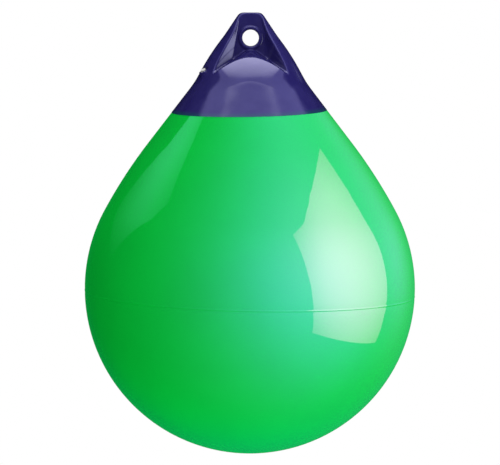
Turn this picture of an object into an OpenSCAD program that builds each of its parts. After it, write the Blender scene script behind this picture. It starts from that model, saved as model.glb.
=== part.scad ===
// Inflatable teardrop buoy: a hollow vinyl float with a solid vinyl rope hold bonded over its neck.
// The rope eye's centre is the origin, +Z is up, and the eye's bore runs along Y.

/* [Float] */
// Largest diameter of the float
float_d = 686; // [600:1:760]
// Thickness of the float's vinyl wall
float_wall = 3.5; // [2.5:0.5:5]
// Height above the float's widest circle, in degrees, where the ball ends and the shoulder starts
shoulder_from = 28.6; // [26:0.2:31]
// Radius of the shoulder between the ball and the straight neck
shoulder_r = 1060; // [900:10:1200]
// Diameter of the neck at the edge of the rope hold's skirt
neck_d = 324.4; // [300:0.2:350]
// Lean of the neck's straight side from the vertical
neck_lean = 37.6; // [36:0.1:39]
// Radius of the bead that the mould's parting line leaves
seam_bead_r = 1.4; // [0.8:0.1:2.5]
// Drop of the parting line below the float's widest circle
seam_drop = 8; // [4:1:14]

/* [Rope hold] */
// Drop from the eye's centre to the edge of the skirt
skirt_drop = 153; // [145:1:165]
// Thickness of the skirt where it laps over the float's neck
lap_t = 1.6; // [1:0.1:2]
// Height of that lap
lap_h = 30; // [20:1:36]
// Thickness of the rope hold's wall above the lap
hold_wall = 10; // [8:0.5:12]
// Height of the rope hold's flat top above the eye's centre
top_rise = 52; // [48:1:58]
// Diameter of the flat top before its edge is rounded
top_d = 45.6; // [42:0.2:50]
// Radius of the flat top's rounded edge
top_edge_r = 6; // [3:0.5:8]
// How far the cheeks stand out past the line of the neck, at the valve
cheek_low_swell = 6; // [4:0.5:9]
// How far the cheeks stand out past the line of the neck, level with the eye
cheek_high_swell = 13.6; // [11:0.2:16]
// Radius of the cheeks' profile
cheek_arc_r = 480; // [400:10:600]
// Radius of the round brow below each pocket
brow_r = 220; // [210:2:230]
// Drop below the eye's centre where the brow leaves the line of the neck
brow_drop = 85; // [82:1:88]
// Thickness of the roof between the pockets' floor and the hollow
roof_t = 16; // [12:1:20]
// Radius of the dome that closes the hollow
dome_r = 160; // [150:5:190]

/* [Rope eye] */
// Diameter of the rope eye
eye_d = 34; // [28:0.5:38]
// Thickness of the lug that the eye goes through
lug_t = 31; // [26:0.5:36]
// Width across the bead that rings the eye on each face
eye_bead_w = 8; // [5:0.5:9]

/* [Valve] */
// Turn of the valve from the rope hold's left side towards its front
valve_turn = 22; // [16:1:28]
// Lean of the valve's axis from the vertical, outwards
valve_lean = 22; // [18:1:26]
// Drop of the valve seat's centre below the rope eye
valve_drop = 67; // [64:0.5:70]
// How far the valve seat's centre stands out of the cheek
valve_stand = 1.5; // [0.5:0.5:2.5]
// Diameter of the boss that carries the valve
valve_boss_d = 20; // [18:0.5:22]
// Diameter of the valve insert's flange
insert_flange_d = 13; // [12:0.5:15]
// Diameter of the valve plug's head
plug_head_d = 10; // [9:0.5:11]
// Diameter of the valve plug's shank
plug_shank_d = 6; // [5:0.5:6.5]
// Length of the valve plug's shank
plug_shank_l = 12; // [10:0.5:13]

/* [Hidden] */
$fn = 160;
overrun = 1;

// Float outline: a ball, a shoulder arc tangent to it, and a straight neck tangent to that.
// The ball's height follows from those tangents, so a larger ball hangs lower.
float_r = float_d / 2;
neck_z = -skirt_drop;
neck_reach = neck_d / 2 * cos(neck_lean) + neck_z * sin(neck_lean);
ball_z = (neck_reach - shoulder_r + (shoulder_r - float_r) * cos(neck_lean - shoulder_from)) / sin(neck_lean);
shoulder_x = (float_r - shoulder_r) * cos(shoulder_from);
shoulder_z = ball_z + (float_r - shoulder_r) * sin(shoulder_from);
shoulder_run_on = 15;
neck_tuck = 0.02;
lap_z = neck_z + lap_h;
seam_z = ball_z - seam_drop;
seam_sink = 0.4;

// Rope hold outline above the skirt: two points on the cheek's arc, and the straight flank up to the top
cheek_high_rise = 4;
cheek_run_on = 34;
flank_run_on = 14;

// Pockets either side of the lug: their side walls and the ridged floor
pocket_draw_share = 0.132;
pocket_flare_share = 0.7;
pocket_side_steps = 14;
ridge_lean = 34.6;
ridge_bead_lap = 1.6;
ridge_fall = 26;
ridge_crown_r_in = 50;
ridge_crown_r_out = 145;
ridge_crown_steps = 12;

// Valve pieces, stacked on the seat: the insert's flange, the seal ring and the plug's head
insert_flange_t = 2;
insert_body_d = 10;
insert_l = 16;
valve_bore_l = 45;
seat_cut_l = 34;
seal_t = 1.2;
seal_d = 9;
plug_fit = 0.05;
plug_head_t = 3;
plug_edge_r = 0.8;
plug_slot_w = 1.6;
plug_slot_depth = 1.4;

// Radius of the straight neck at a height, for a surface set in by a wall
function neck_r(z, inset) = neck_d / 2 - (z - neck_z) * tan(neck_lean) - inset / cos(neck_lean) - neck_tuck;

// Places on the rope hold that several of its features share
cheek_low = [neck_r(-valve_drop, 0) + cheek_low_swell, -valve_drop];
cheek_high = [neck_r(cheek_high_rise, 0) + cheek_high_swell, cheek_high_rise];
flank_slope = (cheek_high[0] - top_d / 2) / (top_rise - cheek_high_rise);
valve_out = cheek_low[0] + valve_stand;
pocket_reach = cheek_low[0] - lug_t / 2;
pocket_top = top_rise - top_edge_r;
ridge_half_w = cheek_low[0] + lug_t;
ridge_drop_in = eye_d / 2 + eye_bead_w - ridge_bead_lap;
ridge_drop_out = ridge_drop_in + ridge_fall;
dome_drop = ridge_drop_out + roof_t;

// The brow's ball, which touches a foot just proud of the straight neck, in the middle of the front
brow_foot = 0.3;
brow_out = neck_r(-brow_drop, 0) + brow_foot;
brow_back = brow_r * cos(neck_lean) - brow_out;
brow_z = -brow_drop - brow_r * sin(neck_lean);

// Half of the float's section, set in by a wall thickness, up to a height
module float_section(inset, up_to) {
    ball_r = float_r - inset;
    arc_r = shoulder_r - inset;
    ball_top = ball_z + ball_r * sin(shoulder_from);
    arc_top = shoulder_z + arc_r * sin(neck_lean);
    intersection() {
        translate([0, ball_z - float_r])
            square([float_d, up_to - ball_z + float_r]);
        union() {
            translate([0, ball_z])
                circle(r = ball_r);
            intersection() {
                translate([shoulder_x, shoulder_z])
                    circle(r = arc_r);
                translate([0, ball_top])
                    square([float_d, arc_top - ball_top + shoulder_run_on]);
            }
            polygon([
                [0, ball_z],
                [neck_r(arc_top, inset), arc_top],
                [neck_r(up_to, inset), up_to],
                [0, up_to]
            ]);
        }
    }
}

// The blown vinyl float: ball, shoulder and neck, with a rebated rim that the rope hold laps over
module float_shell() {
    color("limegreen")
        rotate_extrude()
            union() {
                difference() {
                    union() {
                        float_section(0, neck_z);
                        float_section(lap_t, lap_z);
                    }
                    float_section(float_wall, lap_z + overrun);
                }
                translate([sqrt(pow(float_r, 2) - pow(seam_drop, 2)) - seam_sink, seam_z])
                    circle(r = seam_bead_r);
            }
}

// Half of the rope hold's solid outline: skirt, cheeks and flat top; the cheek's arc crosses the straight
// sides, which run on inside it
module hold_section() {
    flank_low = cheek_high + [flank_run_on * flank_slope, -flank_run_on];
    skirt_high = -valve_drop - flank_run_on;
    chord = cheek_low - cheek_high;
    sag = sqrt(pow(cheek_arc_r, 2) - pow(norm(chord) / 2, 2));
    arc_centre = cheek_high + chord / 2 + [chord[1], -chord[0]] * sag / norm(chord);
    difference() {
        union() {
            polygon([
                [0, neck_z],
                [neck_r(neck_z, 0), neck_z],
                [neck_r(skirt_high, 0), skirt_high],
                flank_low,
                [top_d / 2, top_rise],
                [0, top_rise]
            ]);
            intersection() {
                translate(arc_centre)
                    circle(r = cheek_arc_r);
                translate([0, -valve_drop - cheek_run_on])
                    square([float_r, valve_drop + cheek_high_rise + cheek_run_on + flank_run_on]);
            }
        }
        top_corner_waste();
    }
}

// What rounding takes off the outer corner of the flat top
module top_corner_waste() {
    flank_lean = atan(flank_slope);
    set_back = top_edge_r * tan((90 - flank_lean) / 2);
    round_x = top_d / 2 - set_back;
    round_z = top_rise - top_edge_r;
    difference() {
        polygon([
            [round_x, top_rise + overrun],
            [top_d / 2 + overrun, top_rise + overrun],
            [top_d / 2 + set_back * sin(flank_lean), top_rise - set_back * cos(flank_lean)],
            [round_x, round_z]
        ]);
        translate([round_x, round_z])
            circle(r = top_edge_r);
    }
}

// The hollow under the rope hold: the float's neck fits its lower part, and a dome closes it above
module hold_hollow() {
    rotate_extrude()
        union() {
            difference() {
                float_section(lap_t, lap_z);
                translate([0, ball_z - float_r - overrun])
                    square([float_d, neck_z - ball_z + float_r]);
            }
            intersection() {
                float_section(hold_wall, -dome_drop);
                translate([0, -dome_drop - dome_r])
                    circle(r = dome_r);
                translate([0, neck_z])
                    square([float_r, skirt_drop]);
            }
        }
}

// A solid between like rings of points, one ring for each section; a ring runs down one side and back up
// the other, so that each end closes in a strip across it
module loft(rings) {
    n = len(rings[0]);
    last = len(rings) - 1;
    polyhedron(
        points = [for (ring = rings) each ring],
        faces = [
            for (i = [0 : n / 2 - 2])
                [n - 1 - i, n - 2 - i, i + 1, i],
            for (i = [0 : n / 2 - 2])
                [last * n + i, last * n + i + 1, last * n + n - 2 - i, last * n + n - 1 - i],
            for (k = [0 : last - 1], i = [0 : n - 1])
                [k * n + i, (k + 1) * n + (i + 1) % n, (k + 1) * n + i],
            for (k = [0 : last - 1], i = [0 : n - 1])
                [k * n + i, k * n + (i + 1) % n, (k + 1) * n + (i + 1) % n]
        ]
    );
}

// Half width of a pocket at a height, at a reach out from the lug's face
function pocket_half_w(z, reach) =
    let (below = pocket_top - z)
        top_d / 2
        + pocket_draw_share * below
        + reach * pocket_flare_share * sin(90 * max(0, below) / (pocket_top + valve_drop));

// The space between a pocket's two side walls, wider as it leaves the lug
module pocket_walls() {
    high = top_rise + overrun;
    low = neck_z;
    heights = [for (i = [0 : pocket_side_steps]) high + (low - high) * i / pocket_side_steps];
    loft([
        for (reach = [0, pocket_reach]) [
            for (z = heights)
                [pocket_half_w(z, reach), -reach, z],
            for (i = [pocket_side_steps : -1 : 0])
                [-pocket_half_w(heights[i], reach), -reach, heights[i]]
        ]
    ]);
}

// Points across a pocket's floor, from right to left, for one crown drop and crown radius
function ridge_line(drop, crown_r) =
    let (
        centre_z = -drop - crown_r,
        slope_w = ridge_half_w - crown_r * sin(ridge_lean),
        foot_z = centre_z + crown_r * cos(ridge_lean) - slope_w * tan(ridge_lean)
    ) [
        [ridge_half_w, foot_z],
        for (i = [0 : ridge_crown_steps])
            let (a = ridge_lean * (1 - 2 * i / ridge_crown_steps))
                [crown_r * sin(a), centre_z + crown_r * cos(a)],
        [-ridge_half_w, foot_z]
    ];

// The space above a pocket's floor, a ridge with a round crown that falls as it leaves the lug
module pocket_above_floor() {
    inner = ridge_line(ridge_drop_in, ridge_crown_r_in);
    outer = ridge_line(ridge_drop_out, ridge_crown_r_out);
    high = top_rise + overrun;
    last = len(inner) - 1;
    loft([
        for (end = [[0, inner], [pocket_reach, outer]]) [
            for (p = end[1])
                [p[0], -end[0], p[1]],
            for (i = [last : -1 : 0])
                [end[1][i][0], -end[0], high]
        ]
    ]);
}

// One pocket, in front of the lug, with what the round brow below it takes off the cheeks
module pocket() {
    translate([0, -lug_t / 2, 0])
        intersection() {
            pocket_walls();
            pocket_above_floor();
        }
    difference() {
        translate([0, -lug_t / 2, 0])
            pocket_walls();
        translate([0, brow_back, brow_z])
            sphere(r = brow_r);
        translate([0, 0, neck_z - overrun])
            cylinder(
                r1 = neck_r(neck_z - overrun, 0) + brow_foot,
                r2 = brow_out,
                h = skirt_drop - brow_drop + overrun
            );
    }
}

// Places its children on the valve's seat, with their +Z along the valve's axis
module at_valve() {
    rotate([0, 0, valve_turn])
        translate([-valve_out, 0, -valve_drop])
            rotate([0, -valve_lean, 0])
                children();
}

// The bead that rings the eye on both faces of the lug
module eye_beads() {
    for (side = [-1, 1])
        translate([0, side * lug_t / 2, 0])
            rotate([90, 0, 0])
                rotate_extrude()
                    translate([(eye_d + eye_bead_w) / 2, 0])
                        circle(d = eye_bead_w);
}

// The solid vinyl rope hold: skirt, domed hollow, two pockets, the lug with its eye, and the valve's boss
module rope_hold() {
    color("midnightblue")
        difference() {
            union() {
                difference() {
                    union() {
                        difference() {
                            rotate_extrude()
                                hold_section();
                            pocket();
                            rotate([0, 0, 180])
                                pocket();
                        }
                        eye_beads();
                    }
                    at_valve()
                        cylinder(d = valve_boss_d, h = seat_cut_l);
                }
                at_valve()
                    translate([0, 0, -insert_l])
                        cylinder(d = valve_boss_d, h = insert_l);
            }
            hold_hollow();
            rotate([90, 0, 0])
                cylinder(d = eye_d, h = lug_t + eye_bead_w + overrun, center = true);
            at_valve() {
                translate([0, 0, -insert_flange_t])
                    cylinder(d = insert_flange_d, h = insert_flange_t + overrun);
                translate([0, 0, -valve_bore_l])
                    cylinder(d = insert_body_d, h = valve_bore_l);
            }
        }
}

// The flanged bush moulded into the boss, which the plug screws into
module valve_insert() {
    color("white")
        at_valve()
            difference() {
                union() {
                    translate([0, 0, -insert_flange_t])
                        cylinder(d = insert_flange_d, h = insert_flange_t);
                    translate([0, 0, -insert_l])
                        cylinder(d = insert_body_d, h = insert_l);
                }
                translate([0, 0, -insert_l - overrun])
                    cylinder(d = plug_shank_d + 2 * plug_fit, h = insert_l + 2 * overrun);
            }
}

// The rubber ring that seals the plug's head on the insert
module valve_seal() {
    color("black")
        at_valve()
            difference() {
                cylinder(d = seal_d, h = seal_t);
                translate([0, 0, -overrun])
                    cylinder(d = plug_shank_d + 2 * plug_fit, h = seal_t + 2 * overrun);
            }
}

// The screw plug that closes the valve, with a slot across its head
module valve_plug() {
    color("white")
        at_valve()
            translate([0, 0, seal_t])
                difference() {
                    union() {
                        translate([0, 0, -plug_shank_l])
                            cylinder(d = plug_shank_d, h = plug_shank_l + plug_head_t / 2);
                        rotate_extrude()
                            union() {
                                square([plug_head_d / 2 - plug_edge_r, plug_head_t]);
                                square([plug_head_d / 2, plug_head_t - plug_edge_r]);
                                translate([plug_head_d / 2 - plug_edge_r, plug_head_t - plug_edge_r])
                                    circle(r = plug_edge_r);
                            }
                    }
                    translate([-plug_head_d, -plug_slot_w / 2, plug_head_t - plug_slot_depth])
                        cube([2 * plug_head_d, plug_slot_w, plug_slot_depth + overrun]);
                }
}

float_shell();
rope_hold();
valve_insert();
valve_seal();
valve_plug();
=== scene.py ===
"""Looks of an inflatable teardrop buoy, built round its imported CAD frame.

The float is a turned surface and the rope hold is a distance field, both made by Geometry Nodes. The air
valve's pieces are turned meshes, and the plug's two-start thread is swept by Geometry Nodes. Lengths are in
metres and angles in degrees, in the CAD frame: the rope eye's centre is the origin and +Z is up.
"""

import logging
import math
from dataclasses import dataclass
from enum import Enum
from functools import partial

import bmesh
import bpy
from mathutils import Matrix, Quaternion, Vector


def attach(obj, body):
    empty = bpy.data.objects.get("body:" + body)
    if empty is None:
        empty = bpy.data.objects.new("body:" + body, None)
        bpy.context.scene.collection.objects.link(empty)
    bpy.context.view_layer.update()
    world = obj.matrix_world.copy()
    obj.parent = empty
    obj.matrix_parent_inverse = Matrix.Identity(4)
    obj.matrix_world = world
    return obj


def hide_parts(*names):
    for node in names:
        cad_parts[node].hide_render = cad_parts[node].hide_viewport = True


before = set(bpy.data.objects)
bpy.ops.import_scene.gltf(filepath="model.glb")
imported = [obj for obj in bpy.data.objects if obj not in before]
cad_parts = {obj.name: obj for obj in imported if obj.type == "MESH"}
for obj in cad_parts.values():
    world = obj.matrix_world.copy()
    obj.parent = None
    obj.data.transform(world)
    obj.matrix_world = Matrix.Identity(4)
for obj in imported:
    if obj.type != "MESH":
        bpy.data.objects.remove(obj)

LOG = logging.getLogger("buoy")

Colour = tuple[float, float, float]
Point = tuple[float, float, float]
Profile = list[tuple[float, float]]
Tree = bpy.types.NodeTree
Socket = bpy.types.NodeSocket
Piece = bpy.types.Object

BLACK: Colour = (0.0, 0.0, 0.0)
WHITE: Colour = (1.0, 1.0, 1.0)
VECTOR_MATH = "ShaderNodeVectorMath"


class Body(Enum):
    """The CAD bodies that a piece can ride on."""

    BUOY = "buoy"
    SEAL = "seal"
    PLUG = "plug"


class Slot(Enum):
    """The record's material slots."""

    FLOAT = "float_vinyl"
    HOLD = "hold_vinyl"
    NYLON = "valve_nylon"
    RUBBER = "seal_rubber"


class Rays(Enum):
    """Which of the object's rays a lamp answers, by the lamp's own flag for them."""

    DIFFUSE = "visible_diffuse"
    GLOSSY = "visible_glossy"


class Field:
    """A number in a node tree, whose arithmetic wires up Math nodes."""

    def __init__(self, tree: Tree, socket: Socket) -> None:
        """Keeps the tree and the socket that gives the number."""
        self.tree = tree
        self.socket = socket

    def math(self, operation: str, *others: "Field | float") -> "Field":
        """Adds one Math node.

        Args:
            operation: The Math node's operation.
            *others: The node's further inputs.

        Returns:
            The node's result.
        """
        return Field(self.tree, add_node(self.tree, "ShaderNodeMath", operation, self, *others).outputs[0])

    def __add__(self, other: "Field | float") -> "Field":
        """Adds two numbers."""
        return self.math("ADD", other)

    def __sub__(self, other: "Field | float") -> "Field":
        """Takes the other number away."""
        return self.math("SUBTRACT", other)

    def __mul__(self, other: "Field | float") -> "Field":
        """Multiplies two numbers."""
        return self.math("MULTIPLY", other)

    def __truediv__(self, other: "Field | float") -> "Field":
        """Divides by the other number."""
        return self.math("DIVIDE", other)

    def __neg__(self) -> "Field":
        """Turns the sign."""
        return self.math("MULTIPLY", -1.0)

    def square(self) -> "Field":
        """Multiplies the number by itself."""
        return self.math("MULTIPLY", self)

    def root(self) -> "Field":
        """Takes the square root."""
        return self.math("SQRT")

    def size(self) -> "Field":
        """Drops the sign."""
        return self.math("ABSOLUTE")

    def sine(self) -> "Field":
        """Takes the sine of an angle in radians."""
        return self.math("SINE")

    def cosine(self) -> "Field":
        """Takes the cosine of an angle in radians."""
        return self.math("COSINE")

    def least(self, other: "Field | float") -> "Field":
        """Gives the lower of two numbers."""
        return self.math("MINIMUM", other)

    def most(self, other: "Field | float") -> "Field":
        """Gives the higher of two numbers."""
        return self.math("MAXIMUM", other)

    def join(self, other: "Field", blend: "Field | float") -> "Field":
        """Gives the lower of two distances, with the corner between them filled over a blend width."""
        return self.math("SMOOTH_MIN", other, blend)

    def meet(self, other: "Field", blend: "Field | float") -> "Field":
        """Gives the higher of two distances, with the edge between them rounded over a blend width."""
        return self.math("SMOOTH_MAX", other, blend)

    def bell(self, width: "Field | float") -> "Field":
        """Gives a bump of height 1 round zero that is about two widths across."""
        scaled = self / width
        return (-scaled.square()).math("EXPONENT")


def feed(tree: Tree, node: bpy.types.Node, *values: object, **inputs: object) -> None:
    """Links or sets a node's inputs.

    Args:
        tree: The node's tree.
        node: The node.
        *values: Fields, sockets or plain values for the inputs, in their order.
        **inputs: The same for inputs by name, with _ for a space.
    """
    named = [(node.inputs[name.replace("_", " ")], value) for name, value in inputs.items()]
    for socket, value in [*zip(node.inputs, values), *named]:
        source = value.socket if isinstance(value, Field) else value
        if isinstance(source, Socket):
            tree.links.new(source, socket)
        else:
            socket.default_value = source


def add_node(tree: Tree, kind: str, operation: str = "", *values: object, **inputs: object) -> bpy.types.Node:
    """Adds a node to a tree.

    Args:
        tree: The tree.
        kind: The node's type.
        operation: What the node works out, where its type has a choice.
        *values: Its inputs in their order, as feed takes them.
        **inputs: Its inputs by name, as feed takes them.

    Returns:
        The new node.
    """
    node = tree.nodes.new(kind)
    if operation:
        node.operation = operation
    feed(tree, node, *values, **inputs)
    return node


def smooth_step(tree: Tree, value: Socket, zero_at: float, one_at: float) -> Socket:
    """Adds a smooth step between the value that gives 0 and the value that gives 1.

    Args:
        tree: The node tree.
        value: What drives the step.
        zero_at: The value from which the step is 0.
        one_at: The value from which it is 1, which may be the lower of the two.

    Returns:
        The step's result.
    """
    node = add_node(tree, "ShaderNodeMapRange", Value=value, From_Min=zero_at, From_Max=one_at)
    node.interpolation_type = "SMOOTHSTEP"
    return node.outputs["Result"]


def object_place(tree: Tree) -> Socket:
    """Gives a material the Object coordinates."""
    return add_node(tree, "ShaderNodeTexCoord").outputs["Object"]


def add_object(name: str, data: bpy.types.ID) -> Piece:
    """Adds an object to the scene, at the origin.

    Args:
        name: The object's name.
        data: Its mesh, light or camera.

    Returns:
        The object.
    """
    item = bpy.data.objects.new(name, data)
    bpy.context.scene.collection.objects.link(item)
    return item


def frozen(item: Piece) -> bpy.types.Mesh:
    """Turns what an object's modifiers give into a plain mesh."""
    graph = bpy.context.evaluated_depsgraph_get()
    return bpy.data.meshes.new_from_object(item.evaluated_get(graph))


def finished(name: str, work: bmesh.types.BMesh) -> bpy.types.Mesh:
    """Turns an edited mesh into a named one and lets the edit go.

    Args:
        name: The new mesh's name.
        work: The edited mesh.

    Returns:
        The new mesh.
    """
    mesh = bpy.data.meshes.new(name)
    work.to_mesh(mesh)
    work.free()
    return mesh


class SizedTree:
    """A Geometry Nodes tree whose sizes are named inputs."""

    def __init__(self, name: str) -> None:
        """Starts an empty tree with one geometry output.

        Args:
            name: What the tree and its piece are called.
        """
        self.name = name
        self.tree = bpy.data.node_groups.new(name, "GeometryNodeTree")
        self.tree.interface.new_socket(name="Geometry", in_out="OUTPUT", socket_type="NodeSocketGeometry")
        self.inputs = self.node("NodeGroupInput")
        self.values: dict[str, float | int] = {}

    def node(self, kind: str, operation: str = "", *values: object, **inputs: object) -> bpy.types.Node:
        """Adds a node, with the arguments of add_node."""
        return add_node(self.tree, kind, operation, *values, **inputs)

    def size(self, name: str, value: float | int) -> Field:
        """Adds a named size to the tree's inputs.

        Args:
            name: What the size is.
            value: The size, which is set on the modifier.

        Returns:
            The size as a field.
        """
        kind = "NodeSocketInt" if isinstance(value, int) else "NodeSocketFloat"
        socket = self.tree.interface.new_socket(name=name, in_out="INPUT", socket_type=kind)
        self.values[socket.identifier] = value
        return Field(self.tree, self.inputs.outputs[name])

    def position(self) -> tuple[Field, Field, Field]:
        """Gives each point's place to the right, to the back and up.

        Returns:
            The three coordinates.
        """
        place = self.node("GeometryNodeInputPosition")
        parts = self.node("ShaderNodeSeparateXYZ", Vector=place.outputs[0])
        return tuple(Field(self.tree, socket) for socket in parts.outputs)

    def vector(self, x: Field | float, y: Field | float, z: Field | float) -> Socket:
        """Joins three numbers into a vector."""
        return self.node("ShaderNodeCombineXYZ", X=x, Y=y, Z=z).outputs[0]

    def piece(self, shape: Socket, finish: "Finish") -> Piece:
        """Ends the tree and turns its result into a piece with a plain mesh.

        Args:
            shape: The geometry that the tree gives.
            finish: The finish of the whole piece.

        Returns:
            The piece, at the origin and with no modifier left on it.
        """
        real = self.node("GeometryNodeRealizeInstances", Geometry=shape)
        dressed = self.node("GeometryNodeSetMaterial", Geometry=real.outputs[0], Material=finish.material())
        self.node("NodeGroupOutput", Geometry=dressed.outputs[0])

        maker = add_object(f"{self.name}_maker", bpy.data.meshes.new(f"{self.name}_maker"))
        modifier = maker.modifiers.new(self.name, "NODES")
        modifier.node_group = self.tree
        for identifier, value in self.values.items():
            modifier[identifier] = value
        mesh = frozen(maker)
        bpy.data.objects.remove(maker)
        mesh.name = self.name
        return add_piece(self.name, mesh, finish)


def add_piece(name: str, mesh: bpy.types.Mesh, finish: "Finish") -> Piece:
    """Links a mesh into the scene as a smooth-shaded piece.

    Args:
        name: The piece's name.
        mesh: Its mesh, in the CAD frame.
        finish: Its finish.

    Returns:
        The piece's object, at the origin.
    """
    mesh.materials.clear()
    mesh.materials.append(finish.material())
    mesh.polygons.foreach_set("use_smooth", [True] * len(mesh.polygons))
    return add_object(name, mesh)


def edit_mesh(mesh: bpy.types.Mesh, sharp_from: float, cut: tuple[Vector, Vector] | None = None) -> None:
    """Cuts a mesh off flat where asked, closes it, turns its faces outwards and marks its sharp edges.

    Args:
        mesh: The mesh to edit.
        sharp_from: The angle between faces past which an edge is sharp.
        cut: A point on the cut's plane, and the direction out of the part that is cut off.
    """
    work = bmesh.new()
    work.from_mesh(mesh)
    if cut is not None:
        geometry = [*work.verts, *work.edges, *work.faces]
        bmesh.ops.bisect_plane(work, geom=geometry, plane_co=cut[0], plane_no=cut[1], clear_outer=True)
        rim = [edge for edge in work.edges if edge.is_boundary]
        bmesh.ops.contextual_create(work, geom=rim)
    bmesh.ops.recalc_face_normals(work, faces=work.faces)
    for edge in work.edges:
        if len(edge.link_faces) == 2:
            edge.smooth = edge.calc_face_angle() < math.radians(sharp_from)
    work.to_mesh(mesh)
    work.free()


def settle(piece: Piece, body: Body, slot: Slot, *nodes: str) -> Piece:
    """Rides a piece on its body, in place of the CAD nodes that it stands for.

    Args:
        piece: The finished piece.
        body: The body that carries it.
        slot: The piece's material slot, which is not used.
        *nodes: The CAD nodes that it replaces.

    Returns:
        The same piece.
    """
    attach(piece, body.value)
    if nodes:
        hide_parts(*nodes)
    LOG.info("%s rides on %s, %d faces", piece.name, body.value, len(piece.data.polygons))
    return piece


def noise(tree: Tree, scale: float, detail: float) -> Socket:
    """Adds a noise pattern on Object coordinates.

    Args:
        tree: The material's tree.
        scale: The pattern's scale, in waves for each metre.
        detail: How many finer layers it has.

    Returns:
        The pattern's factor.
    """
    node = add_node(tree, "ShaderNodeTexNoise", Vector=object_place(tree), Scale=scale, Detail=detail)
    return node.outputs["Fac"]


def mixed(colour: Colour, other: Colour, share: float) -> Colour:
    """Gives a colour part of the way to another."""
    return tuple(a + (b - a) * share for a, b in zip(colour, other))


@dataclass(frozen=True)
class Clouds:
    """Soft clouds of a darker and a paler shade of one colour."""

    scale: float
    detail: float
    dark_share: float
    pale_share: float = 0.0
    dark_to: float = 0.3
    pale_from: float = 0.7

    def shaded(self, tree: Tree, colour: Colour) -> Socket:
        """Adds the clouds to a material.

        Args:
            tree: The material's tree.
            colour: The colour that the shades are mixed from.

        Returns:
            The clouded colour.
        """
        ramp = add_node(tree, "ShaderNodeValToRGB", Fac=noise(tree, self.scale, self.detail))
        dark, pale = ramp.color_ramp.elements
        dark.position, pale.position = self.dark_to, self.pale_from
        dark.color = (*mixed(colour, BLACK, self.dark_share), 1.0)
        pale.color = (*mixed(colour, WHITE, self.pale_share), 1.0)
        return ramp.outputs["Color"]


@dataclass(frozen=True)
class Relief:
    """A faint unevenness of a surface."""

    scale: float
    detail: float
    depth: float

    def normal(self, tree: Tree, under: Socket | None = None) -> Socket:
        """Adds the relief to a material.

        Args:
            tree: The material's tree.
            under: A normal to build on.

        Returns:
            The bumped normal.
        """
        height = noise(tree, self.scale, self.detail)
        bump = add_node(tree, "ShaderNodeBump", Height=height, Distance=self.depth)
        if under:
            feed(tree, bump, Normal=under)
        return bump.outputs["Normal"]


@dataclass(frozen=True)
class Finish:
    """A surface finish, with its own node tree."""

    name: str
    colour: Colour
    roughness: float

    def material(self) -> bpy.types.Material:
        """Gives the finish's material, made the first time it is asked for.

        Returns:
            The material.
        """
        found = bpy.data.materials.get(self.name)
        if found:
            return found
        made = bpy.data.materials.new(self.name)
        made.use_nodes = True
        shader = made.node_tree.nodes["Principled BSDF"]
        feed(made.node_tree, shader, Roughness=self.roughness)
        self.dress(made.node_tree, shader)
        return made

    def dress(self, tree: Tree, shader: bpy.types.Node) -> None:
        """Wires the finish's pattern to the shader."""
        raise NotImplementedError


@dataclass(frozen=True)
class FloatVinyl(Finish):
    """Pigmented vinyl under a clear smooth skin, which alone is glossy."""

    skin_roughness: float = 0.02
    skin_ior: float = 2.0
    clouds: Clouds = Clouds(scale=9.0, detail=3.0, dark_share=0.06)
    peel: Relief = Relief(scale=14.0, detail=1.0, depth=0.0004)
    grain: Relief = Relief(scale=900.0, detail=1.0, depth=0.00003)

    def dress(self, tree: Tree, shader: bpy.types.Node) -> None:
        """Gives the pigment faint clouds and a fine grain, and the clear skin a slow wave.

        Args:
            tree: The material's tree.
            shader: Its main shader.
        """
        pigment = self.clouds.shaded(tree, self.colour)
        peel = self.peel.normal(tree)
        grain = self.grain.normal(tree, peel)
        feed(tree, shader, Base_Color=pigment, Normal=grain, Specular_IOR_Level=0.0, Coat_Weight=1.0)
        feed(tree, shader, Coat_IOR=self.skin_ior, Coat_Roughness=self.skin_roughness, Coat_Normal=peel)


@dataclass(frozen=True)
class HoldVinyl(Finish):
    """Solid moulded vinyl with a smooth skin, so thin at the skirt's edge that the float shows through."""

    edge_colour: Colour = (0.010, 0.045, 0.09)
    edge_z: float = -0.1499
    edge_up: Vector = Vector((-0.019, -0.026, 1.0)).freeze()
    edge_fade: float = 0.010
    clouds: Clouds = Clouds(scale=30.0, detail=3.0, dark_share=0.12, pale_share=0.006)
    wave: Relief = Relief(scale=22.0, detail=1.0, depth=0.0006)
    grain: Relief = Relief(scale=700.0, detail=2.0, depth=0.00004)

    def dress(self, tree: Tree, shader: bpy.types.Node) -> None:
        """Gives the vinyl faint clouds, a feathered edge, slow waves and a moulded grain.

        Args:
            tree: The material's tree.
            shader: Its main shader.
        """
        pigment = self.clouds.shaded(tree, self.colour)
        height = add_node(tree, VECTOR_MATH, "DOT_PRODUCT", object_place(tree), self.edge_up)
        inside = smooth_step(tree, height.outputs["Value"], self.edge_z, self.edge_z + self.edge_fade)
        blend = add_node(tree, "ShaderNodeMix", Factor=inside)
        blend.data_type = "RGBA"
        at_edge, within = [socket for socket in blend.inputs if socket.type == "RGBA"]
        at_edge.default_value = (*self.edge_colour, 1.0)
        tree.links.new(pigment, within)
        colour = next(socket for socket in blend.outputs if socket.type == "RGBA")
        feed(tree, shader, Base_Color=colour, Normal=self.grain.normal(tree, self.wave.normal(tree)))


@dataclass(frozen=True)
class MouldedPlain(Finish):
    """A small moulding's plain finish."""

    clouds: Clouds = Clouds(scale=400.0, detail=2.0, dark_share=0.12, dark_to=0.35, pale_from=0.65)
    grain: Relief = Relief(scale=2500.0, detail=2.0, depth=0.00002)

    def dress(self, tree: Tree, shader: bpy.types.Node) -> None:
        """Gives the colour faint clouds and the surface a fine grain."""
        feed(tree, shader, Base_Color=self.clouds.shaded(tree, self.colour), Normal=self.grain.normal(tree))


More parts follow.
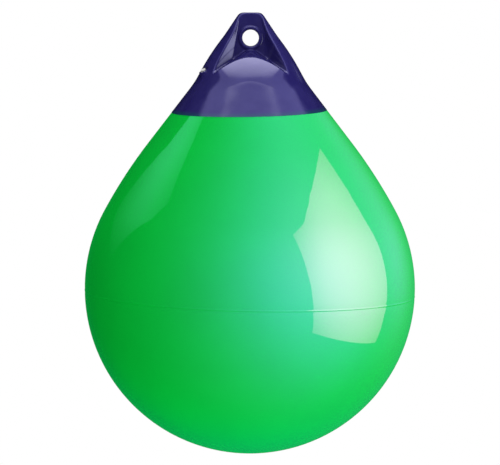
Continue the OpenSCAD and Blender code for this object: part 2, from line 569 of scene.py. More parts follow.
@dataclass(frozen=True)
class PaleFloor(Finish):
    """A pale floor that fades out towards its edge."""

    fade_from: float = 0.5
    fade_to: float = 0.92

    def dress(self, tree: Tree, shader: bpy.types.Node) -> None:
        """Gives the floor its colour and lets its edge fade out.

        Args:
            tree: The material's tree.
            shader: Its main shader.
        """
        level = add_node(tree, VECTOR_MATH, "MULTIPLY", object_place(tree), (1.0, 1.0, 0.0))
        reach = add_node(tree, VECTOR_MATH, "LENGTH", level.outputs[0])
        shown = smooth_step(tree, reach.outputs["Value"], zero_at=self.fade_to, one_at=self.fade_from)
        feed(tree, shader, Base_Color=(*self.colour, 1.0), Alpha=shown)


def facing(azimuth: float, elevation: float) -> Vector:
    """Gives a direction.

    Args:
        azimuth: Degrees round from the camera's side to the right.
        elevation: Degrees up from level.

    Returns:
        The direction from the buoy, one unit long.
    """
    turn, rise = math.radians(azimuth), math.radians(elevation)
    return Vector((math.sin(turn) * math.cos(rise), -math.cos(turn) * math.cos(rise), math.sin(rise)))


@dataclass(frozen=True)
class Glow:
    """A broad soft light on the studio's tent."""

    azimuth: float
    elevation: float
    width: float
    radiance: float
    colour: Colour


@dataclass(frozen=True)
class TentCloth(Finish):
    """Dark cloth that glows softly where light falls on it from behind.

    Rays that only graze the float are as long as the tent's radius, and others are shorter. The veil's glows
    thin out along grazing rays, and the rim's glows don't.
    """

    veil: tuple[Glow, ...] = (
        Glow(azimuth=45.6, elevation=12.7, width=38.9, radiance=3.6, colour=(0.143, 0.379, 1.0)),
        Glow(azimuth=128.0, elevation=3.0, width=14.0, radiance=1.2, colour=(0.36, 0.22, 1.0)),
        Glow(azimuth=57.0, elevation=20.0, width=20.0, radiance=0.55, colour=(1.0, 0.4, 0.0)),
    )
    rim: tuple[Glow, ...] = (
        Glow(azimuth=90.0, elevation=0.0, width=60.0, radiance=0.9, colour=(0.0, 1.0, 0.1)),
        Glow(azimuth=90.0, elevation=0.0, width=40.0, radiance=0.2, colour=(0.35, 0.35, 1.0)),
        Glow(azimuth=127.0, elevation=10.0, width=20.0, radiance=0.5, colour=(0.42, 0.5, 1.0)),
        Glow(azimuth=165.0, elevation=-62.0, width=25.0, radiance=0.25, colour=(0.0, 0.1, 1.0)),
    )
    centre: Point = (0.0, 0.0, -0.571)
    radius: float = 9.0
    graze_from: float = 0.06
    graze_to: float = 0.24

    def dress(self, tree: Tree, shader: bpy.types.Node) -> None:
        """Sums the glows, each fading with the angle from its middle.

        Args:
            tree: The material's tree.
            shader: Its main shader.
        """
        across = add_node(tree, VECTOR_MATH, "SUBTRACT", object_place(tree), self.centre)
        unit = add_node(tree, VECTOR_MATH, "NORMALIZE", across.outputs[0])
        length = add_node(tree, "ShaderNodeLightPath").outputs["Ray Length"]
        steep = smooth_step(tree, length, self.radius - self.graze_from, self.radius - self.graze_to)
        total: Socket | Vector = Vector(BLACK)
        for glow in self.veil + self.rim:
            middle = facing(glow.azimuth, glow.elevation)
            near = add_node(tree, VECTOR_MATH, "DOT_PRODUCT", unit.outputs[0], middle)
            away = Field(tree, near.outputs["Value"]) - 1.0
            share = (away / math.radians(glow.width) ** 2).math("EXPONENT")
            if glow in self.veil:
                share = share * Field(tree, steep)
            light = add_node(tree, VECTOR_MATH, "SCALE", Vector(glow.colour) * glow.radiance, Scale=share)
            total = add_node(tree, VECTOR_MATH, "ADD", total, light.outputs[0]).outputs[0]
        feed(tree, shader, Base_Color=(*self.colour, 1.0), Specular_IOR_Level=0.0)
        feed(tree, shader, Emission_Color=total, Emission_Strength=1.0)


@dataclass(frozen=True)
class Neck:
    """The float's straight neck, which the rope hold's skirt is bonded over."""

    radius: float = 0.1622
    lean: float = 37.6
    skirt_drop: float = 0.153

    @property
    def angle(self) -> float:
        """The lean in radians."""
        return math.radians(self.lean)

    def radius_at(self, z: float) -> float:
        """Gives the neck's radius at a height."""
        return self.radius - (z + self.skirt_drop) * math.tan(self.angle)


@dataclass
class FloatShell:
    """The hollow vinyl float: ball, shoulder and neck, with the mould's parting line round it."""

    finish: Finish
    neck: Neck
    radius: float = 0.343
    shoulder_from: float = 28.6
    shoulder_radius: float = 1.060
    neck_lap: float = 0.010
    seam_drop: float = 0.008
    seam_height: float = 0.0006
    seam_width: float = 0.0011
    seam_dip: float = 0.0002
    seam_dip_width: float = 0.007
    seam_slope_x: float = -0.018
    seam_slope_y: float = -0.031
    seam_zone: float = 0.020
    rings: int = 300
    segments: int = 256
    seam_rings_share: float = 0.2
    weld: float = 0.00002
    sharp_from: float = 40.0

    @property
    def shoulder_start(self) -> float:
        """Where the shoulder starts on the ball, in radians up from its middle."""
        return math.radians(self.shoulder_from)

    @property
    def ball_z(self) -> float:
        """Height of the ball's centre, where ball, shoulder and neck are tangent."""
        lean = self.neck.angle
        reach = self.neck.radius * math.cos(lean) - self.neck.skirt_drop * math.sin(lean)
        across = (self.shoulder_radius - self.radius) * math.cos(lean - self.shoulder_start)
        return (reach - self.shoulder_radius + across) / math.sin(lean)

    @property
    def neck_top(self) -> float:
        """Height of the neck's end, lapped inside the rope hold."""
        return self.neck_lap - self.neck.skirt_drop

    @property
    def neck_length(self) -> float:
        """Length of the straight neck, from the shoulder's end to its own."""
        set_in = (self.radius - self.shoulder_radius) * math.sin(self.shoulder_start)
        shoulder_top = self.ball_z + set_in + self.shoulder_radius * math.sin(self.neck.angle)
        return (self.neck_top - shoulder_top) / math.cos(self.neck.angle)

    def build(self) -> Piece:
        """Turns the float's outline about its axis.

        Returns:
            The float's piece.
        """
        tree = SizedTree("float_skin")
        rings = tree.size("Rings", self.rings)
        segments = tree.size("Segments", self.segments + 1)
        ball_r = tree.size("Ball radius", self.radius)
        ball_z = tree.size("Ball height", self.ball_z)
        start = tree.size("Shoulder start", self.shoulder_start)
        shoulder_r = tree.size("Shoulder radius", self.shoulder_radius)
        lean = tree.size("Neck lean", self.neck.angle)
        neck_l = tree.size("Neck length", self.neck_length)
        cap_r = tree.size("Cap radius", self.neck.radius_at(self.neck_top))
        drop = tree.size("Seam drop", self.seam_drop)
        bead_h = tree.size("Seam bead height", self.seam_height)
        bead_w = tree.size("Seam bead width", self.seam_width)
        dip_h = tree.size("Seam dip depth", self.seam_dip)
        dip_w = tree.size("Seam dip width", self.seam_dip_width)
        slope_x = tree.size("Seam slope to the right", self.seam_slope_x)
        slope_y = tree.size("Seam slope to the back", self.seam_slope_y)
        zone = tree.size("Seam zone", self.seam_zone)
        crowd = tree.size("Share of rings in the seam zone", self.seam_rings_share)

        # The sheet is one unit long and wide, with its middle at the origin.
        sheet = tree.node(
            "GeometryNodeMeshGrid", Size_X=1.0, Size_Y=1.0, Vertices_X=rings, Vertices_Y=segments
        )
        along, around, _ = tree.position()
        along = along + 0.5
        turn = (around + 0.5) * math.tau

        # The outline's length is shared out below the seam, in its zone and above it.
        quarter = math.pi / 2
        seam_s = ball_r * quarter - drop
        ball_l = ball_r * (start + quarter)
        shoulder_l = shoulder_r * (lean - start)
        neck_end = ball_l + shoulder_l + neck_l
        whole = neck_end + cap_r
        low_share = (-crowd + 1.0) * (seam_s / whole)
        high_from = low_share + crowd
        low_part = (along / low_share).least(1.0) * (seam_s - zone)
        mid_part = ((along - low_share) / crowd).most(0.0).least(1.0) * zone * 2.0
        high_part = ((along - high_from) / (-high_from + 1.0)).most(0.0) * (whole - seam_s - zone)
        path = low_part + mid_part + high_part

        # The path runs up the ball, along the shoulder and the neck, and in over the neck's end.
        ball_a = path.least(ball_l) / ball_r - quarter
        shoulder_a = start + (path - ball_l).most(0.0).least(shoulder_l) / shoulder_r
        neck_s = (path - ball_l - shoulder_l).most(0.0).least(neck_l)
        cap_s = (path - neck_end).most(0.0)
        out = (
            ball_r * ball_a.cosine()
            + shoulder_r * (shoulder_a.cosine() - start.cosine())
            - neck_s * lean.sine()
            - cap_s
        )
        up = (
            ball_z
            + ball_r * ball_a.sine()
            + shoulder_r * (shoulder_a.sine() - start.sine())
            + neck_s * lean.cosine()
        )
        # The parting line is a fine bead in a shallow dip, on a plane that is slightly tilted.
        from_seam = up - ball_z + drop - out * turn.cosine() * slope_x - out * turn.sine() * slope_y
        proud = from_seam.bell(bead_w) * bead_h - from_seam.bell(dip_w) * dip_h
        wide = (out + proud * ball_a.cosine()).most(0.0)
        high = up + proud * ball_a.sine()
        place = tree.vector(wide * turn.cosine(), wide * turn.sine(), high)
        turned = tree.node("GeometryNodeSetPosition", Geometry=sheet.outputs["Mesh"], Position=place)
        closed = tree.node("GeometryNodeMergeByDistance", Geometry=turned.outputs[0], Distance=self.weld)
        piece = tree.piece(closed.outputs[0], self.finish)
        edit_mesh(piece.data, self.sharp_from)
        return piece

    def dress(self) -> Piece:
        """Builds the float and puts it in place of its CAD node."""
        return settle(self.build(), Body.BUOY, Slot.FLOAT, "float_shell")


@dataclass
class RopeHold:
    """The solid vinyl rope hold: skirt, cheeks, two pockets, the lug with its eye, and the valve's boss."""

    finish: HoldVinyl
    neck: Neck
    skirt_lip: float = 0.0004
    top_rise: float = 0.052
    top_half: float = 0.0228
    top_edge: float = 0.011
    cheek_low_swell: float = 0.006
    cheek_high_swell: float = 0.0136
    cheek_high_rise: float = 0.004
    cheek_arc_radius: float = 0.480
    cheek_split: float = -0.045
    cheek_slope_share: float = 0.83
    cheek_blend: float = 0.007
    flank_blend: float = 0.0014
    lug_thickness: float = 0.031
    eye_radius: float = 0.017
    eye_bead: float = 0.008
    eye_bead_blend: float = 0.002
    pocket_draw: float = 0.132
    pocket_flare: float = 0.7
    pocket_top: float = 0.046
    pocket_fillet: float = 0.008
    pocket_floor_fillet: float = 0.012
    pocket_rim: float = 0.005
    ridge_lean: float = 34.6
    ridge_bead_lap: float = 0.0010
    ridge_fall: float = 0.026
    crown_in: float = 0.014
    crown_out: float = 0.145
    brow_radius: float = 0.220
    brow_drop: float = 0.085
    brow_foot: float = 0.0003
    brow_foot_flare: float = 1.25
    brow_edge: float = 0.003
    boss_radius: float = 0.010
    boss_length: float = 0.016
    boss_blend: float = 0.003
    seat_edge: float = 0.001
    seat_bore: float = 0.0064
    seat_bore_depth: float = 0.020
    voxel: float = 0.0016
    band_voxels: float = 4.0
    surface_density: float = 0.5
    snap_steps: int = 3
    cut_room: float = 0.008
    sharp_from: float = 65.0

    def outline(self, tree: SizedTree, valve: "ValvePlace") -> Field:
        """Gives the distance from the outer skin, before anything is cut.

        Args:
            tree: The tree to build in.
            valve: Where the valve sits, which sets the cheek's lower point.

        Returns:
            The distance, less than zero inside.
        """
        x, y, z = tree.position()
        low_out = self.neck.radius_at(-valve.drop) + self.cheek_low_swell
        high_out = self.neck.radius_at(self.cheek_high_rise) + self.cheek_high_swell
        low, high = Vector((low_out, -valve.drop)), Vector((high_out, self.cheek_high_rise))
        chord = low - high
        sag = math.sqrt(self.cheek_arc_radius**2 - (chord.length / 2) ** 2)
        centre = high + chord / 2 + Vector((chord.y, -chord.x)) * sag / chord.length
        slope = (high.x - self.top_half) / (self.top_rise - self.cheek_high_rise)

        arc_r = tree.size("Cheek arc radius", self.cheek_arc_radius)
        arc_x = tree.size("Cheek arc centre out", centre.x)
        arc_z = tree.size("Cheek arc centre height", centre.y)
        neck_r = tree.size("Neck radius", self.neck.radius + self.skirt_lip)
        neck_slope = tree.size("Neck slope", math.tan(self.neck.angle))
        top = tree.size("Top height", self.top_rise)
        top_half = tree.size("Top half width", self.top_half)
        flank_slope = tree.size("Flank slope", slope)
        drop = tree.size("Skirt drop", self.neck.skirt_drop)

        cheek = arc_x + (arc_r.square() - (z - arc_z).square()).root()
        neck = neck_r - (z + drop) * neck_slope
        flank = top_half + (top - z) * flank_slope
        is_low = z.math("LESS_THAN", tree.size("Cheek split height", self.cheek_split))
        lower = cheek.meet(neck, tree.size("Cheek blend", self.cheek_blend))
        upper = cheek.meet(flank, tree.size("Flank blend", self.flank_blend))
        reach = is_low * lower + (-is_low + 1.0) * upper
        side = ((x.square() + y.square()).root() - reach) * self.cheek_slope_share
        return side.meet(z - top, tree.size("Top edge blend", self.top_edge))

    def pocket(self, tree: SizedTree, valve: "ValvePlace") -> Field:
        """Gives the distance from the two pockets, one on each side of the lug.

        Args:
            tree: The tree to build in.
            valve: Where the valve sits, which sets how far the pockets reach.

        Returns:
            The distance, less than zero inside a pocket.
        """
        x, y, z = tree.position()
        lug_half = tree.size("Lug half thickness", self.lug_thickness / 2)
        flare = tree.size("Pocket flare", self.pocket_flare)
        draw = tree.size("Pocket draw", self.pocket_draw)
        pocket_top = tree.size("Pocket top", self.pocket_top)
        half_top = tree.size("Pocket half width at the top", self.top_half)
        swing = tree.size("Pocket flare rate", math.pi / 2 / (self.pocket_top + valve.drop))
        whole_reach = self.neck.radius_at(-valve.drop) + self.cheek_low_swell - self.lug_thickness / 2
        fall = tree.size("Floor fall rate", self.ridge_fall / whole_reach)
        spread = tree.size("Floor crown growth", (self.crown_out - self.crown_in) / whole_reach)
        crown_in = tree.size("Floor crown radius at the lug", self.crown_in)
        drop_in = tree.size("Floor drop at the lug", self.eye_radius + self.eye_bead - self.ridge_bead_lap)
        ridge = math.radians(self.ridge_lean)

        # The side walls flare outwards, and the floor is a rounded ridge that falls away from the lug.
        across = x.size()
        reach = (y.size() - lug_half).most(0.0)
        below = -z + pocket_top
        widen = (below.most(0.0) * swing).sine() * flare
        half = half_top + below * draw + reach * widen
        wall = (across - half) / (widen.square() + 1.0 + self.pocket_draw**2).root()
        crown_r = crown_in + reach * spread
        bent = across.least(crown_r * math.sin(ridge))
        height = (crown_r.square() - bent.square()).root() - crown_r - drop_in - reach * fall
        floor_z = height - (across - bent) * math.tan(ridge)
        floor = (floor_z - z) * (-(bent / crown_r).square() + 1.0).root()
        lug = lug_half - y.size()
        sides = lug.meet(wall, tree.size("Pocket fillet", self.pocket_fillet))
        hollow = sides.meet(floor, tree.size("Pocket floor fillet", self.pocket_floor_fillet))

        # Below the pocket, between its sides, the skin is cut back to a round brow with the neck at its foot.
        lean = self.neck.angle
        brow_r = tree.size("Brow radius", self.brow_radius)
        brow_out = self.neck.radius_at(-self.brow_drop) + self.brow_foot
        brow_back = tree.size("Brow centre back", self.brow_radius * math.cos(lean) - brow_out)
        brow_z = tree.size("Brow centre height", -self.brow_drop - self.brow_radius * math.sin(lean))
        from_brow = x.square() + (y.size() + brow_back).square() + (z - brow_z).square()
        neck = (z + self.brow_drop) * (-math.tan(lean) * self.brow_foot_flare) + brow_out
        foot = (((x.square() + y.square()).root() - neck) * math.cos(lean)).most(z + self.brow_drop)
        brow = (from_brow.root() - brow_r).least(foot)
        return hollow.join((-brow).most(sides), tree.size("Brow edge blend", self.brow_edge))

    def build(self, valve: "ValvePlace") -> Piece:
        """Meshes the zero surface of the rope hold's distance field.

        Args:
            valve: Where the valve sits.

        Returns:
            The rope hold's piece.
        """
        tree = SizedTree("rope_hold_skin")
        x, y, z = tree.position()
        outer = self.outline(tree, valve)
        pocket = self.pocket(tree, valve)
        solid = outer.meet(-pocket, tree.size("Pocket rim blend", self.pocket_rim))

        # The eye is bored through the lug, with a bead round each end.
        eye_r = tree.size("Eye radius", self.eye_radius)
        bead_r = tree.size("Eye bead radius", self.eye_bead / 2)
        from_eye = (x.square() + z.square()).root()
        off_face = y.size() - self.lug_thickness / 2
        bead = ((from_eye - eye_r - bead_r).square() + off_face.square()).root() - bead_r
        ringed = solid.join(bead, tree.size("Eye bead blend", self.eye_bead_blend))
        bored = ringed.meet(eye_r - from_eye, 0.0)

        # The valve's boss has a flat seat, spot-faced out of the cheek, and a bore.
        boss_r = tree.size("Boss radius", self.boss_radius)
        boss_l = tree.size("Boss length", self.boss_length)
        bore_r = tree.size("Seat bore radius", self.seat_bore)
        bore_l = tree.size("Seat bore depth", self.seat_bore_depth)
        seat = valve.matrix().translation
        axis = valve.matrix().col[2]
        dx, dy, dz = x - seat.x, y - seat.y, z - seat.z
        rise = dx * axis.x + dy * axis.y + dz * axis.z
        off_axis = (dx.square() + dy.square() + dz.square() - rise.square()).most(0.0).root()
        spot = (off_axis - boss_r).most(-rise)
        boss = (off_axis - boss_r).most(rise).most(-rise - boss_l)
        bore = (off_axis - bore_r).most(-rise - bore_l)
        faced = bored.meet(-spot, tree.size("Seat edge blend", self.seat_edge))
        bossed = faced.join(boss, tree.size("Boss blend", self.boss_blend))
        distance = bossed.most(-bore)

        # The volume gives a first skin, and each step moves it closer to the distance field's zero.
        half = self.neck.radius + self.cut_room
        low, high = -self.neck.skirt_drop - self.cut_room, self.top_rise + self.cut_room / 2
        cells_across = int(2 * half / self.voxel)
        block = tree.node(
            "GeometryNodeVolumeCube",
            Density=-distance / (self.voxel * self.band_voxels) + self.surface_density,
            Min=(-half, -half, low),
            Max=(half, half, high),
            Resolution_X=cells_across,
            Resolution_Y=cells_across,
            Resolution_Z=int((high - low) / self.voxel),
        )
        meshed = tree.node(
            "GeometryNodeVolumeToMesh", Volume=block.outputs[0], Threshold=self.surface_density
        )
        skin = meshed.outputs[0]
        normal = tree.node("GeometryNodeInputNormal").outputs[0]
        for _ in range(self.snap_steps):
            step = tree.node(VECTOR_MATH, "SCALE", normal, Scale=-distance)
            skin = tree.node("GeometryNodeSetPosition", Geometry=skin, Offset=step.outputs[0]).outputs[0]
        piece = tree.piece(skin, self.finish)
        edge = Vector((0.0, 0.0, self.finish.edge_z))
        edit_mesh(piece.data, self.sharp_from, cut=(edge, -self.finish.edge_up))
        return piece

    def dress(self, valve: "ValvePlace") -> Piece:
        """Builds the rope hold, with the valve's seat, and puts it in place of its CAD node."""
        return settle(self.build(valve), Body.BUOY, Slot.HOLD, "rope_hold")


@dataclass(frozen=True)
class ValvePlace:
    """Where the air valve's seat is, and how its axis leans."""

    turn: float = 22.0
    lean: float = 22.0
    drop: float = 0.067
    out: float = 0.103451

    def matrix(self) -> Matrix:
        """Gives the transform from the valve's own axes, with +Z along its axis, to the CAD frame.

        Returns:
            The transform.
        """
        turned = Matrix.Rotation(math.radians(self.turn), 4, "Z")
        placed = Matrix.Translation((-self.out, 0.0, -self.drop))
        leaned = Matrix.Rotation(math.radians(-self.lean), 4, "Y")
        return turned @ placed @ leaned


@dataclass
class AirValve:
    """The air valve: a flanged bush, a seal ring, and a slotted screw plug with a two-start thread."""

    nylon: Finish
    rubber: Finish
    place: ValvePlace
    flange_r: float = 0.0065
    flange_t: float = 0.002
    flange_proud: float = 0.0002
    bush_r: float = 0.005
    bush_l: float = 0.016
    bore_r: float = 0.00305
    seal_r: float = 0.0045
    seal_t: float = 0.0012
    head_r: float = 0.005
    head_t: float = 0.003
    head_edge: float = 0.0008
    slot_w: float = 0.0016
    slot_depth: float = 0.0014
    core_r: float = 0.0025
    thread_r: float = 0.00295
    thread_lead: float = 0.0025
    thread_starts: int = 2
    shank_l: float = 0.012
    edge: float = 0.0003
    seal_edge_share: float = 0.4
    slot_run_share: float = 3.0
    helix_steps: int = 32
    thread_facets: int = 8
    segments: int = 64
    edge_steps: int = 5
    weld: float = 1e-7
    sharp_from: float = 40.0
    thread_sharp_from: float = 60.0

    def corner(self, out: float, up: float, radius: float, start: float) -> Profile:
        """Gives the points of a quarter round.

        Args:
            out: The round's centre, out from the axis.
            up: The round's centre along the axis.
            radius: Its radius.
            start: The angle where it starts, and it turns 90 degrees on from there.

        Returns:
            The points.
        """
        angles = [math.radians(start + 90 * i / self.edge_steps) for i in range(self.edge_steps + 1)]
        return [(out + radius * math.cos(a), up + radius * math.sin(a)) for a in angles]

    def turned(self, name: str, outline: Profile, finish: Finish, closed: bool) -> Piece:
        """Turns an outline about the valve's axis.

        Args:
            name: The piece's name.
            outline: Points out from the axis and along it.
            finish: The piece's finish.
            closed: Whether the outline closes on itself, as a ring's does, or starts and ends on the axis.

        Returns:
            The piece.
        """
        work = bmesh.new()
        turns = [math.tau * i / self.segments for i in range(self.segments)]
        rings = [
            [work.verts.new((out * math.cos(a), out * math.sin(a), up)) for a in turns] for out, up in outline
        ]
        pairs = list(zip(rings, rings[1:]))
        if closed:
            pairs.append((rings[-1], rings[0]))
        for ring, after in pairs:
            for i in range(self.segments):
                j = (i + 1) % self.segments
                work.faces.new((ring[i], ring[j], after[j], after[i]))
        bmesh.ops.remove_doubles(work, verts=work.verts, dist=self.weld)
        work.transform(self.place.matrix())
        piece = add_piece(name, finished(name, work), finish)
        edit_mesh(piece.data, self.sharp_from)
        return piece

    def bush(self) -> Piece:
        """Makes the flanged bush with softened edges.

        Returns:
            The piece.
        """
        top = self.flange_proud
        outline = [
            *self.corner(self.bore_r + self.edge, top - self.edge, self.edge, 90.0)[::-1],
            (self.bore_r, -self.bush_l),
            (self.bush_r, -self.bush_l),
            (self.bush_r, -self.flange_t),
            (self.flange_r, -self.flange_t),
            *self.corner(self.flange_r - self.edge, top - self.edge, self.edge, 0.0),
        ]
        return self.turned("valve_bush", outline, self.nylon, closed=True)

    def ring(self) -> Piece:
        """Makes the seal ring with rounded edges.

        Returns:
            The piece.
        """
        edge = self.seal_t * self.seal_edge_share
        inner, outer = self.bore_r, self.seal_r
        outline = [
            *self.corner(outer - edge, edge, edge, -90.0),
            *self.corner(outer - edge, self.seal_t - edge, edge, 0.0),
            *self.corner(inner + edge, self.seal_t - edge, edge, 90.0),
            *self.corner(inner + edge, edge, edge, 180.0),
        ]
        return self.turned("seal_ring", outline, self.rubber, closed=True)

    def plug(self) -> Piece:
        """Makes the plug's head and core, with the slot cut across the head.

        Returns:
            The piece.
        """
        foot, top = self.seal_t, self.seal_t + self.head_t
        tip = foot - self.shank_l
        outline = [
            (0.0, tip),
            (self.core_r - self.edge, tip),
            (self.core_r, tip + self.edge),
            (self.core_r, foot),
            *self.corner(self.head_r - self.edge, foot + self.edge, self.edge, -90.0),
            *self.corner(self.head_r - self.head_edge, top - self.head_edge, self.head_edge, 0.0),
            (0.0, top),
        ]
        piece = self.turned("plug_body", outline, self.nylon, closed=False)
        work = bmesh.new()
        bmesh.ops.create_cube(work, size=1.0)
        run = self.head_r * self.slot_run_share
        work.transform(Matrix.Diagonal((run, self.slot_w, self.slot_depth * 2, 1.0)))
        work.transform(self.place.matrix() @ Matrix.Translation((0.0, 0.0, top)))
        cutter = add_object("slot_cutter", finished("slot_cutter", work))
        cut = piece.modifiers.new("slot", "BOOLEAN")
        cut.operation = "DIFFERENCE"
        cut.object = cutter
        mesh = frozen(piece)
        piece.modifiers.remove(cut)
        piece.data = mesh
        bpy.data.objects.remove(cutter)
        edit_mesh(mesh, self.sharp_from)
        return piece

    def thread(self) -> Piece:
        """Sweeps the plug's two-start thread along its helices.

        Returns:
            The piece.
        """
        tree = SizedTree("plug_thread")
        lead = tree.size("Lead", self.thread_lead)
        length = tree.size("Threaded length", self.shank_l - 2 * self.edge - self.thread_lead / 2)
        height = tree.size("Thread height", self.thread_r - self.core_r)
        radius = tree.size("Helix radius", self.core_r)
        starts = tree.node("GeometryNodeJoinGeometry")
        helix = tree.node(
            "GeometryNodeCurveSpiral",
            Resolution=self.helix_steps,
            Rotations=length / lead,
            Start_Radius=radius,
            End_Radius=radius,
            Height=length,
        )
        profile = tree.node(
            "GeometryNodeCurvePrimitiveCircle", Resolution=self.thread_facets, Radius=height
        )
        sweep = tree.node(
            "GeometryNodeCurveToMesh",
            Curve=helix.outputs[0],
            Profile_Curve=profile.outputs[0],
            Fill_Caps=True,
        )
        for start in range(self.thread_starts):
            turned = tree.node(
                "GeometryNodeTransform",
                Geometry=sweep.outputs[0],
                Rotation=(0.0, 0.0, math.tau * start / self.thread_starts),
            )
            tree.tree.links.new(turned.outputs[0], starts.inputs[0])
        tip = self.seal_t - self.shank_l + self.edge + self.thread_lead / 4
        seated = self.place.matrix() @ Matrix.Translation((0.0, 0.0, tip))
        placed = tree.node(
            "GeometryNodeTransform",
            Geometry=starts.outputs[0],
            Translation=tuple(seated.translation),
            Rotation=tuple(seated.to_euler()),
        )
        piece = tree.piece(placed.outputs[0], self.nylon)
        edit_mesh(piece.data, self.thread_sharp_from)
        return piece

    def dress(self) -> None:
        """Builds the valve's pieces and puts them in place of their CAD nodes."""
        settle(self.bush(), Body.BUOY, Slot.NYLON, "valve_insert")
        settle(self.ring(), Body.SEAL, Slot.RUBBER, "valve_seal")
        settle(self.plug(), Body.PLUG, Slot.NYLON, "valve_plug")
        settle(self.thread(), Body.PLUG, Slot.NYLON)


def group(name: str, pieces: tuple[Piece, ...]) -> bpy.types.Collection | None:
    """Gathers pieces that a lamp lights alone, or that alone shade it.

    Args:
        name: The collection's name.
        pieces: The pieces.

    Returns:
        The collection, or nothing where there are no pieces, which stands for all of them.
    """
    if not pieces:
        return None
    gathered = bpy.data.collections.new(name)
    for piece in pieces:
        gathered.objects.link(piece)
    return gathered


@dataclass(frozen=True)
class Lamp:
    """A flat soft lamp that faces a point on the buoy."""

    name: str
    rays: Rays
    azimuth: float
    elevation: float
    distance: float
    width: float
    height: float
    radiance: float
    colour: Colour = WHITE
    target: Point = (0.0, 0.0, -0.4)
    roll: float = 0.0
    fade: tuple[float, float] | None = None
    peak: tuple[float, float] = (0.5, 0.5)
    lit: tuple[Piece, ...] = ()
    shaded_by: tuple[Piece, ...] = ()

    def build(self) -> None:
        """Adds the lamp."""
        away = facing(self.azimuth, self.elevation)
        light = bpy.data.lights.new(self.name, "AREA")
        light.shape = "RECTANGLE"
        light.size, light.size_y = self.width, self.height
        light.color = self.colour
        light.energy = self.radiance * math.pi * self.width * self.height
        if self.fade:
            self.soften(light)
        lamp = add_object(self.name, light)
        lamp.location = Vector(self.target) + away * self.distance
        turned = away.to_track_quat("Z", "Y") @ Quaternion((0.0, 0.0, 1.0), math.radians(self.roll))
        lamp.rotation_euler = turned.to_euler()
        lamp.visible_camera = False
        for rays in Rays:
            setattr(lamp, rays.value, rays is self.rays)
        lamp.light_linking.receiver_collection = group(f"{self.name}_lit", self.lit)
        lamp.light_linking.blocker_collection = group(f"{self.name}_shaded_by", self.shaded_by)

    def soften(self, light: bpy.types.AreaLight) -> None:
        """Dims the lamp away from its brightest place.

        Args:
            light: The lamp's light.
        """
        light.use_nodes = True
        tree = light.node_tree
        place = add_node(tree, "ShaderNodeNewGeometry").outputs["Parametric"]
        parts = add_node(tree, "ShaderNodeSeparateXYZ", Vector=place)
        across = (Field(tree, parts.outputs["X"]) - self.peak[0]).bell(self.fade[0])
        along = (Field(tree, parts.outputs["Y"]) - self.peak[1]).bell(self.fade[1])
        feed(tree, tree.nodes["Emission"], Strength=across * along)


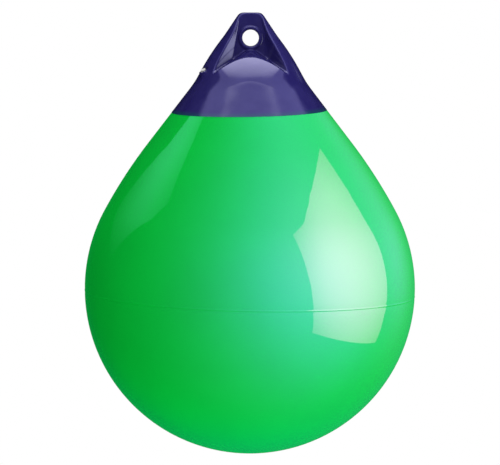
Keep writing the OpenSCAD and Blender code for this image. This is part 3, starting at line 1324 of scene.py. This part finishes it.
@dataclass
class Studio:
    """The camera, lamps, floor and pale surroundings."""

    floor_finish: Finish
    tent_finish: TentCloth
    float_piece: Piece
    hold_piece: Piece
    camera_back: float = 4.106
    camera_rise: float = 0.0478
    camera_pitch: float = 6.26
    camera_roll: float = 0.18
    lens: float = 143.1
    sensor: float = 36.0
    ambient: Colour = (0.36, 0.36, 0.36)
    floor_z: float = -1.12
    floor_radius: float = 0.95
    floor_segments: int = 96
    tent_subdivisions: int = 6
    hold_aim: Point = (0.0, 0.0, -0.03)
    plain_lamp_size: float = 2.0

    def camera(self) -> None:
        """Sets the camera where the photo was taken from."""
        data = bpy.data.cameras.new("camera")
        data.lens = self.lens
        data.sensor_width = self.sensor
        camera = add_object("camera", data)
        tilt = Matrix.Rotation(math.radians(90.0 - self.camera_pitch), 4, "X")
        roll = Matrix.Rotation(math.radians(self.camera_roll), 4, "Z")
        camera.matrix_world = Matrix.Translation((0.0, -self.camera_back, self.camera_rise)) @ tilt @ roll
        bpy.context.scene.camera = camera

    def surroundings(self) -> None:
        """Shows white to the camera and to gloss, and gives the object a dim even light."""
        world = bpy.data.worlds.new("studio")
        bpy.context.scene.world = world
        world.use_nodes = True
        tree = world.node_tree
        dim = tree.nodes["Background"]
        feed(tree, dim, Color=(*self.ambient, 1.0))
        white = add_node(tree, "ShaderNodeBackground", Color=(*WHITE, 1.0))
        path = add_node(tree, "ShaderNodeLightPath")
        camera, gloss, through = [
            Field(tree, path.outputs[f"Is {kind} Ray"]) for kind in ("Camera", "Glossy", "Transmission")
        ]
        shown = gloss.most(through).most(camera)
        mix = add_node(tree, "ShaderNodeMixShader", "", shown, dim.outputs[0], white.outputs[0])
        feed(tree, tree.nodes["World Output"], Surface=mix.outputs[0])

    def floor(self) -> None:
        """Adds the pale floor under the hanging buoy."""
        work = bmesh.new()
        bmesh.ops.create_circle(work, cap_ends=True, radius=self.floor_radius, segments=self.floor_segments)
        work.transform(Matrix.Translation((0.0, 0.0, self.floor_z)))
        floor = add_piece("floor", finished("floor", work), self.floor_finish)
        floor.visible_glossy = False

    def tent(self) -> None:
        """Adds a dark tent that only the gloss sees, with glows on it that only the float mirrors."""
        work = bmesh.new()
        radius = self.tent_finish.radius
        bmesh.ops.create_icosphere(work, subdivisions=self.tent_subdivisions, radius=radius)
        work.transform(Matrix.Translation(self.tent_finish.centre))
        tent = add_piece("dark_tent", finished("dark_tent", work), self.tent_finish)
        for rays in ("camera", "diffuse", "transmission", "volume_scatter", "shadow"):
            setattr(tent, f"visible_{rays}", False)
        tent.light_linking.receiver_collection = group("glow_lit", (self.float_piece,))

    def lamps(self) -> list[Lamp]:
        """Lists the panels that one piece mirrors alone, and the plain lamps for all of them.

        Returns:
            The lamps, in the order that they are added.
        """
        float_only, hold_only = (self.float_piece,), (self.hold_piece,)
        float_panel = partial(Lamp, rays=Rays.GLOSSY, lit=float_only)
        hold_panel = partial(Lamp, rays=Rays.GLOSSY, lit=hold_only)
        size = self.plain_lamp_size
        plain = partial(Lamp, rays=Rays.DIFFUSE, width=size, height=size)
        return [
            float_panel(
                "softbox", azimuth=80.0, elevation=9.0, distance=1.90, width=2.34, height=2.94, radiance=4.0,
                colour=(1.0, 0.40, 0.76), target=(-0.108, -0.434, -0.367), fade=(0.6, 0.6),
            ),
            float_panel(
                "strip", azimuth=-129.7, elevation=28.8, distance=2.0, width=1.0, height=1.9, radiance=0.84,
                colour=(0.2, 1.0, 0.8), target=(-0.519, -0.578, -0.159), roll=-24.0,
                fade=(1.0, 0.41), peak=(0.0, 0.684),
            ),
            hold_panel(
                "overhead", azimuth=180.0, elevation=84.6, distance=2.02, width=2.3, height=1.62,
                radiance=4.9, colour=(0.8, 0.79, 1.0), target=self.hold_aim,
                fade=(0.75, 0.65), peak=(0.5, 0.309),
            ),
            hold_panel(
                "ceiling", azimuth=0.0, elevation=77.3, distance=2.05, width=4.8, height=3.9, radiance=2.1,
                colour=(0.5, 0.48, 1.0), target=(0.2, 0.0, -0.03),
            ),
            hold_panel(
                "side", azimuth=122.0, elevation=-8.0, distance=2.0, width=1.6, height=2.0, radiance=2.9,
                colour=(0.64, 0.64, 1.0), target=self.hold_aim, fade=(0.45, 0.45), shaded_by=float_only,
            ),
            plain(
                "low_light", azimuth=0.0, elevation=-55.0, distance=2.0, radiance=1.3,
                shaded_by=float_only + hold_only,
            ),
            plain("right_light", azimuth=85.0, elevation=8.0, distance=2.2, radiance=2.4),
            plain("front_light", azimuth=9.0, elevation=10.0, distance=2.5, radiance=1.8),
            plain("top_light", azimuth=0.0, elevation=75.0, distance=2.2, radiance=2.1),
            plain("left_light", azimuth=-90.0, elevation=50.0, distance=2.4, radiance=0.5),
        ]

    def build(self) -> None:
        """Builds the whole studio."""
        self.camera()
        self.surroundings()
        self.floor()
        self.tent()
        for lamp in self.lamps():
            lamp.build()
        bpy.context.scene.view_settings.view_transform = "Standard"


def write_sizes() -> None:
    """Brings the view layer up to date.
    """
    bpy.context.view_layer.update()


def main() -> None:
    """Builds the buoy's pieces and the studio in order."""
    logging.basicConfig(level=logging.INFO, format="%(name)s: %(message)s")
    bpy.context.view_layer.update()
    neck, place = Neck(), ValvePlace()
    float_vinyl = FloatVinyl("float_vinyl_green", colour=(0.0, 0.515, 0.025), roughness=0.5)
    hold_vinyl = HoldVinyl("hold_vinyl_navy", colour=(0.018, 0.014, 0.115), roughness=0.15)
    nylon = MouldedPlain("valve_nylon_white", colour=(0.8, 0.8, 0.78), roughness=0.4)
    rubber = MouldedPlain("seal_rubber_black", colour=(0.02, 0.02, 0.02), roughness=0.7)
    pale_floor = PaleFloor("pale_floor", colour=(0.8, 0.8, 0.8), roughness=0.9)
    tent_cloth = TentCloth("tent_cloth", colour=BLACK, roughness=1.0)

    float_piece = FloatShell(float_vinyl, neck).dress()
    hold_piece = RopeHold(hold_vinyl, neck).dress(place)
    AirValve(nylon, rubber, place).dress()
    Studio(pale_floor, tent_cloth, float_piece, hold_piece).build()
    write_sizes()


if __name__ == "__main__":
    main()
